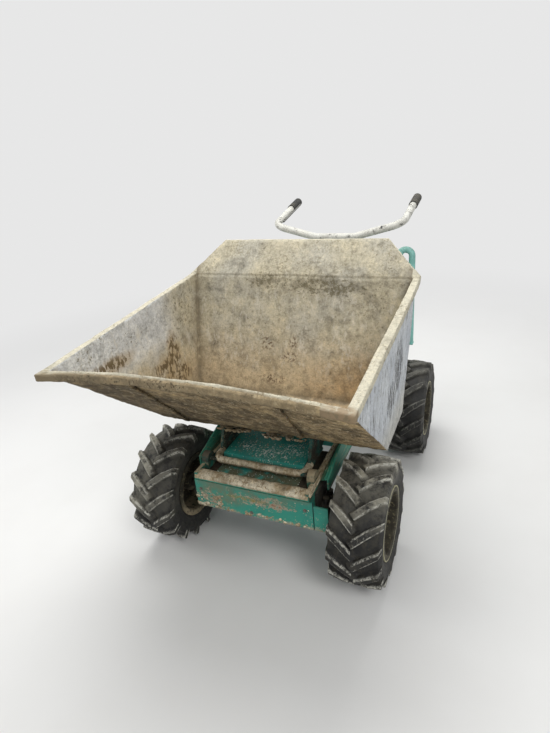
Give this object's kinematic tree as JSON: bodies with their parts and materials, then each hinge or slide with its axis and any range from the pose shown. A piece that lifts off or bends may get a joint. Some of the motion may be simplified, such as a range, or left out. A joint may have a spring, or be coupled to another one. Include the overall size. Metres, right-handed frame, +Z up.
{
  "type": "four-wheel stand-on site dumper with a forward-tipping tub",
  "caption": "Compact self-propelled dumper: wide tub that tips forward over lugged tyres, open engine behind it, handlebar steering and a fold-up rear platform.",
  "frame": {"origin": "on the ground below the middle of the machine's bounding box", "axes": "+Z up, -Y towards the dumping end, +Y towards the operator, +X to the machine's left"},
  "size_m": [1.082, 2.0934, 1.2967],
  "materials": {
    "tub": "pale moulded tub, scratched, with a dried cement coat",
    "frame_paint": "green paint, chipped and splashed",
    "black_paint": "black paint, dusty",
    "bare_steel": "worn steel with dried cement",
    "chrome_rod": "polished rod",
    "engine_cast": "cast metal",
    "tank_paint": "pale paint",
    "muffler_steel": "heat-stained steel",
    "black_plastic": "black plastic",
    "bar_paint": "pale paint worn to black patches",
    "grip_rubber": "black rubber",
    "tyre": "dusty black rubber",
    "rim_paint": "dirty paint"
  },
  "bodies": {
    "chassis": {"frame": "frame_paint", "rail_right": "frame_paint", "rail_left": "frame_paint", "front_bar": "frame_paint", "front_cover": "frame_paint", "deck_panel": "frame_paint", "side_wings": "frame_paint", "wheel_motor_right": "black_paint", "wheel_motor_left": "black_paint", "rear_axle_beam": "black_paint", "column_jacket": "frame_paint", "engine_deck": "frame_paint", "guard_hoops": "frame_paint", "engine_block": "engine_cast", "engine_shroud": "black_paint", "fuel_tank": "tank_paint", "muffler": "muffler_steel", "air_cleaner": "black_plastic", "hydraulic_pump": "engine_cast", "oil_tank": "frame_paint", "console": "frame_paint"},
    "tub": {"tub_shell": "tub", "tub_ribs": "tub", "tub_hinge_arms": "frame_paint", "tub_hinge_shaft": "bare_steel"},
    "cylinder_barrel": {"cylinder_barrel": "black_paint"},
    "cylinder_rod": {"cylinder_rod": "chrome_rod"},
    "handlebar": {"steering_shaft": "black_paint", "handlebar": "bar_paint", "grips": "grip_rubber"},
    "tie_rod": {"tie_rod": "black_paint"},
    "knuckle_right": {"knuckle_right": "black_paint"},
    "knuckle_left": {"knuckle_left": "black_paint"},
    "wheel_front_right": {"tyre_front_right": "tyre", "rim_front_right": "rim_paint"},
    "wheel_front_left": {"tyre_front_left": "tyre", "rim_front_left": "rim_paint"},
    "wheel_rear_right": {"tyre_rear_right": "tyre", "rim_rear_right": "rim_paint"},
    "wheel_rear_left": {"tyre_rear_left": "tyre", "rim_rear_left": "rim_paint"},
    "platform": {"platform": "frame_paint"}
  },
  "joints": [
    {"name": "tub_tip", "type": "hinge", "parent": "chassis", "child": "tub", "pos_m": [0, -0.58825, 0.444], "axis": [1, 0, 0], "range_deg": [0, 85]},
    {"name": "cylinder_swing", "type": "hinge", "parent": "chassis", "child": "cylinder_barrel", "pos_m": [0, 0.15675, 0.33], "axis": [1, 0, 0], "range_deg": [-4, 0.2]},
    {"name": "cylinder_extend", "type": "slide", "parent": "cylinder_barrel", "child": "cylinder_rod", "axis": [0, -0.9422, 0.3352], "range_m": [0, 0.316]},
    {"name": "steering", "type": "hinge", "parent": "chassis", "child": "handlebar", "pos_m": [0, 0.49675, 0.4], "axis": [0, 0, 1], "range_deg": [-28, 28]},
    {"name": "tie_rod_pivot", "type": "hinge", "parent": "handlebar", "child": "tie_rod", "pos_m": [0, 0.60675, 0.32], "axis": [0, 0, 1], "range_deg": [-28.5, 28.5]},
    {"name": "knuckle_right_turn", "type": "hinge", "parent": "chassis", "child": "knuckle_right", "pos_m": [0.305, 0.39675, 0.254], "axis": [0, 0, 1], "range_deg": [-28.5, 28.5]},
    {"name": "knuckle_left_turn", "type": "hinge", "parent": "chassis", "child": "knuckle_left", "pos_m": [-0.305, 0.39675, 0.254], "axis": [0, 0, 1], "range_deg": [-28.5, 28.5]},
    {"name": "platform_fold", "type": "hinge", "parent": "chassis", "child": "platform", "pos_m": [0, 0.71875, 0.262], "axis": [1, 0, 0], "range_deg": [0, 85]},
    {"name": "wheel_front_right_roll", "type": "hinge", "parent": "chassis", "child": "wheel_front_right", "pos_m": [0.438, -0.54325, 0.254], "axis": [1, 0, 0], "continuous": true},
    {"name": "wheel_front_left_roll", "type": "hinge", "parent": "chassis", "child": "wheel_front_left", "pos_m": [-0.438, -0.54325, 0.254], "axis": [1, 0, 0], "continuous": true},
    {"name": "wheel_rear_right_roll", "type": "hinge", "parent": "knuckle_right", "child": "wheel_rear_right", "pos_m": [0.438, 0.39675, 0.254], "axis": [1, 0, 0], "continuous": true},
    {"name": "wheel_rear_left_roll", "type": "hinge", "parent": "knuckle_left", "child": "wheel_rear_left", "pos_m": [-0.438, 0.39675, 0.254], "axis": [1, 0, 0], "continuous": true}
  ],
  "couplings": [
    {"joint": "cylinder_swing", "follows": "tub_tip", "ratio": -0.044766},
    {"joint": "cylinder_extend", "follows": "tub_tip", "m_per_rad": 0.21265},
    {"joint": "tie_rod_pivot", "follows": "steering", "ratio": -1},
    {"joint": "knuckle_right_turn", "follows": "steering", "ratio": 1},
    {"joint": "knuckle_left_turn", "follows": "steering", "ratio": 1}
  ]
}
